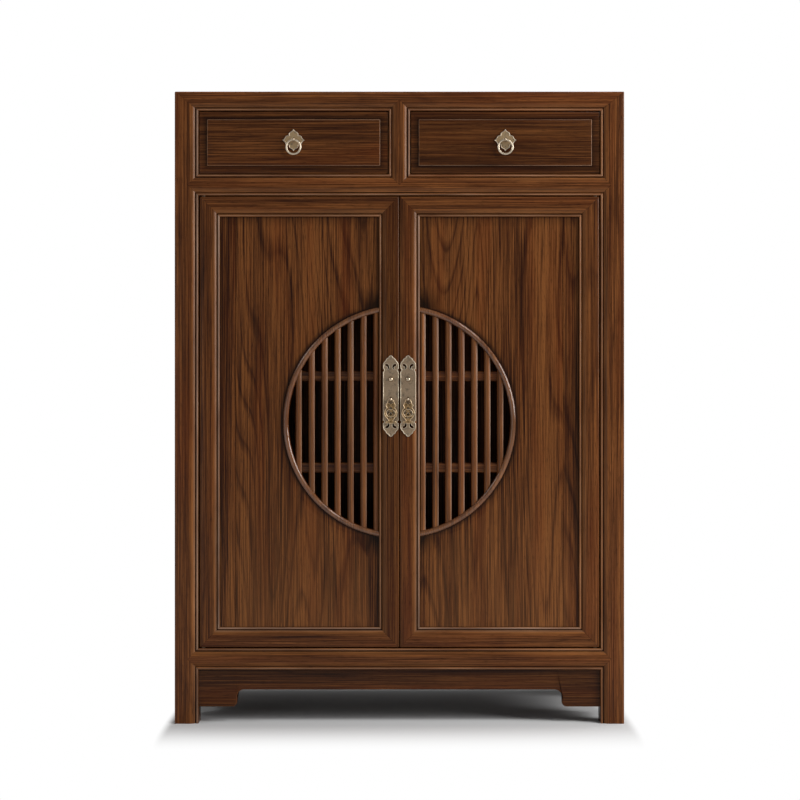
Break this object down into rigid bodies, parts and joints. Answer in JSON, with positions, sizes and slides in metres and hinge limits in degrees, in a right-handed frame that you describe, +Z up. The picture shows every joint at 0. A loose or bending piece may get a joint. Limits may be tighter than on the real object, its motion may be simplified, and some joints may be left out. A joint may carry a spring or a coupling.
{
  "type": "accent cabinet",
  "caption": "Dark wooden East Asian cabinet with drawers over doors, a round lattice window and brass pulls.",
  "frame": {"origin": "on the floor under the middle of the cabinet's bounding box", "axes": "+X to the right seen from the front, +Y to the back, +Z up; the doors face -Y"},
  "size_m": [0.8, 0.3912, 1.125],
  "materials": {
    "wood": "dark stained, waxed satin",
    "brass": "antique, dulled",
    "steel": "plain"
  },
  "bodies": {
    "carcass": {"left_front_post": "wood", "right_front_post": "wood", "left_rear_post": "wood", "right_rear_post": "wood", "top_front_rail": "wood", "top_side_rails": "wood", "middle_front_rail": "wood", "bottom_front_rail": "wood", "side_rails": "wood", "rear_rails": "wood", "drawer_muntin": "wood", "side_panels": "wood", "back_panels": "wood", "top_panel": "wood", "floor_board": "wood", "dust_board": "wood", "pivot_bushes": "brass", "shelves": "wood", "shelf_cleats": "wood", "drawer_partition": "wood", "drawer_runners": "wood", "magnet_catches": "steel", "front_apron": "wood", "side_aprons": "wood"},
    "left_drawer": {"left_drawer_front": "wood", "left_drawer_sides": "wood", "left_drawer_back": "wood", "left_drawer_bottom": "wood", "left_pull_plate": "brass", "left_pull_fixings": "brass"},
    "left_ring": {"left_pull_ring": "brass"},
    "left_door": {"left_hinge_stile": "wood", "left_meeting_stile": "wood", "left_door_rails": "wood", "left_door_panel": "wood", "left_moon_ring": "wood", "left_lattice": "wood", "left_pivot_pins": "brass", "left_door_plate": "brass", "left_plate_studs": "brass", "left_strike": "steel"},
    "left_drop": {"left_drop_pull": "brass"},
    "right_drawer": {"right_drawer_front": "wood", "right_drawer_sides": "wood", "right_drawer_back": "wood", "right_drawer_bottom": "wood", "right_pull_plate": "brass", "right_pull_fixings": "brass"},
    "right_ring": {"right_pull_ring": "brass"},
    "right_door": {"right_hinge_stile": "wood", "right_meeting_stile": "wood", "right_door_rails": "wood", "right_door_panel": "wood", "right_moon_ring": "wood", "right_lattice": "wood", "right_pivot_pins": "brass", "right_door_plate": "brass", "right_plate_studs": "brass", "right_strike": "steel"},
    "right_drop": {"right_drop_pull": "brass"}
  },
  "joints": [
    {"name": "left_drawer_slide", "type": "slide", "parent": "carcass", "child": "left_drawer", "axis": [0, -1, 0], "range_m": [0, 0.24]},
    {"name": "left_ring_swing", "type": "hinge", "parent": "left_drawer", "child": "left_ring", "pos_m": [-0.1885, -0.1874, 1.0385], "axis": [-1, 0, 0], "range_deg": [0, 100]},
    {"name": "left_door_turn", "type": "hinge", "parent": "carcass", "child": "left_door", "pos_m": [-0.3495, -0.1749, 0.537], "axis": [0, 0, -1], "range_deg": [0, 95]},
    {"name": "left_drop_swing", "type": "hinge", "parent": "left_door", "child": "left_drop", "pos_m": [-0.0154, -0.1876, 0.5773], "axis": [-1, 0, 0], "range_deg": [0, 100]},
    {"name": "right_drawer_slide", "type": "slide", "parent": "carcass", "child": "right_drawer", "axis": [0, -1, 0], "range_m": [0, 0.24]},
    {"name": "right_ring_swing", "type": "hinge", "parent": "right_drawer", "child": "right_ring", "pos_m": [0.1885, -0.1874, 1.0385], "axis": [-1, 0, 0], "range_deg": [0, 100]},
    {"name": "right_door_turn", "type": "hinge", "parent": "carcass", "child": "right_door", "pos_m": [0.3495, -0.1749, 0.537], "axis": [0, 0, 1], "range_deg": [0, 95]},
    {"name": "right_drop_swing", "type": "hinge", "parent": "right_door", "child": "right_drop", "pos_m": [0.0154, -0.1876, 0.5773], "axis": [-1, 0, 0], "range_deg": [0, 100]}
  ]
}
